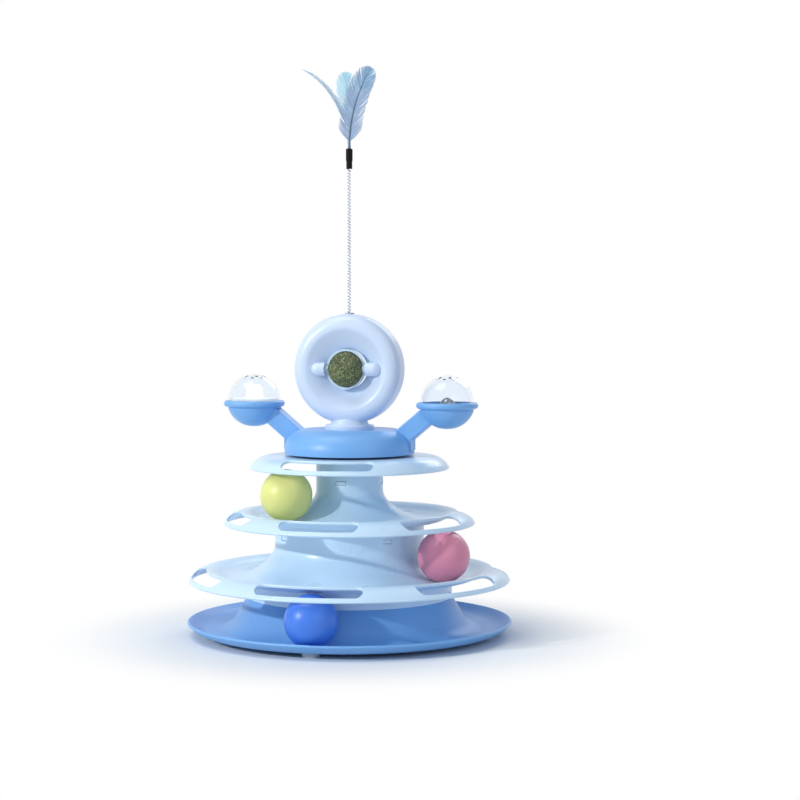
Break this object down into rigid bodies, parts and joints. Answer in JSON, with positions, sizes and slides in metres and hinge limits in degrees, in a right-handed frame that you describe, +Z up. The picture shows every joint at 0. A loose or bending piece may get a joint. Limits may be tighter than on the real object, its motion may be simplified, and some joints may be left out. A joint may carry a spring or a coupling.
{
  "type": "cat ball track toy",
  "caption": "Tower of stacked ball tracks for a cat, with a free spinner on top that carries two domed cups, a ring head with a turning catnip ball, and a feather wand on a coil spring.",
  "frame": {"origin": "on the tower axis at floor level", "axes": "+Z up, front toward -Y, arms along X"},
  "size_m": [0.25, 0.25, 0.4358],
  "materials": {
    "blue_plastic": "satin moulded",
    "pale_plastic": "gloss moulded",
    "white_plastic": "gloss moulded",
    "grey_plastic": "moulded",
    "pink_plastic": "gloss",
    "yellow_plastic": "gloss",
    "clear_plastic": "clear",
    "pad_rubber": "matt",
    "black_rubber": "matt",
    "steel": "plated",
    "bell_steel": "plated",
    "board_green": "laminate",
    "catnip": "pressed herb",
    "feather_grey": "feather",
    "feather_cyan": "feather",
    "feather_pale": "feather"
  },
  "bodies": {
    "tower": {"base_track": "blue_plastic", "foot_pads": "pad_rubber", "lower_track": "pale_plastic", "middle_track": "pale_plastic", "top_cover": "pale_plastic", "spindle_washer": "steel", "spindle_screw": "steel"},
    "spinner": {"spinner_bush": "white_plastic", "spinner_base": "blue_plastic", "spinner_dome": "blue_plastic", "spinner_screws": "steel", "left_arm": "blue_plastic", "right_arm": "blue_plastic", "arm_screws": "steel", "left_dome": "clear_plastic", "right_dome": "clear_plastic", "light_housing": "white_plastic", "light_diffuser": "white_plastic", "light_board": "board_green", "light_led": "clear_plastic", "coin_cells": "steel", "battery_door": "white_plastic", "motion_switch": "grey_plastic", "bell_tray": "blue_plastic", "head_front": "pale_plastic", "head_rear": "pale_plastic", "head_screws": "steel", "head_foot": "pale_plastic", "wand_socket": "grey_plastic"},
    "catnip": {"catnip_cup": "pale_plastic", "catnip_ball": "catnip"},
    "bell": {"jingle_bell": "bell_steel", "bell_bead": "steel"},
    "wand": {"wand_spring": "steel", "wand_sleeve": "black_rubber", "front_feather": "feather_grey", "rear_feather": "feather_cyan", "left_feather": "feather_pale"},
    "blue": {"blue_ball": "blue_plastic"},
    "pink": {"pink_ball": "pink_plastic"},
    "yellow": {"yellow_ball": "yellow_plastic"}
  },
  "joints": [
    {"name": "spinner_turn", "type": "hinge", "parent": "tower", "child": "spinner", "pos_m": [0, 0, 0.143], "axis": [0, 0, 1], "continuous": true},
    {"name": "catnip_turn", "type": "hinge", "parent": "spinner", "child": "catnip", "pos_m": [0, -0.011, 0.2048], "axis": [1, 0, 0], "continuous": true},
    {"name": "bell_orbit", "type": "hinge", "parent": "spinner", "child": "bell", "pos_m": [0.077, 0, 0.178], "axis": [0, 0, 1], "continuous": true},
    {"name": "wand_sway", "type": "hinge", "parent": "spinner", "child": "wand", "pos_m": [0, 0, 0.2469], "axis": [0, 1, 0], "range_deg": [-40, 40], "stiffness_Nm_per_rad": 0.02, "deforming": ["wand_spring"]},
    {"name": "blue_orbit", "type": "hinge", "parent": "tower", "child": "blue", "pos_m": [0, 0, 0.0256], "axis": [0, 0, 1], "continuous": true},
    {"name": "pink_orbit", "type": "hinge", "parent": "tower", "child": "pink", "pos_m": [0, 0, 0.0665], "axis": [0, 0, 1], "continuous": true},
    {"name": "yellow_orbit", "type": "hinge", "parent": "tower", "child": "yellow", "pos_m": [0, 0, 0.1104], "axis": [0, 0, 1], "continuous": true}
  ]
}
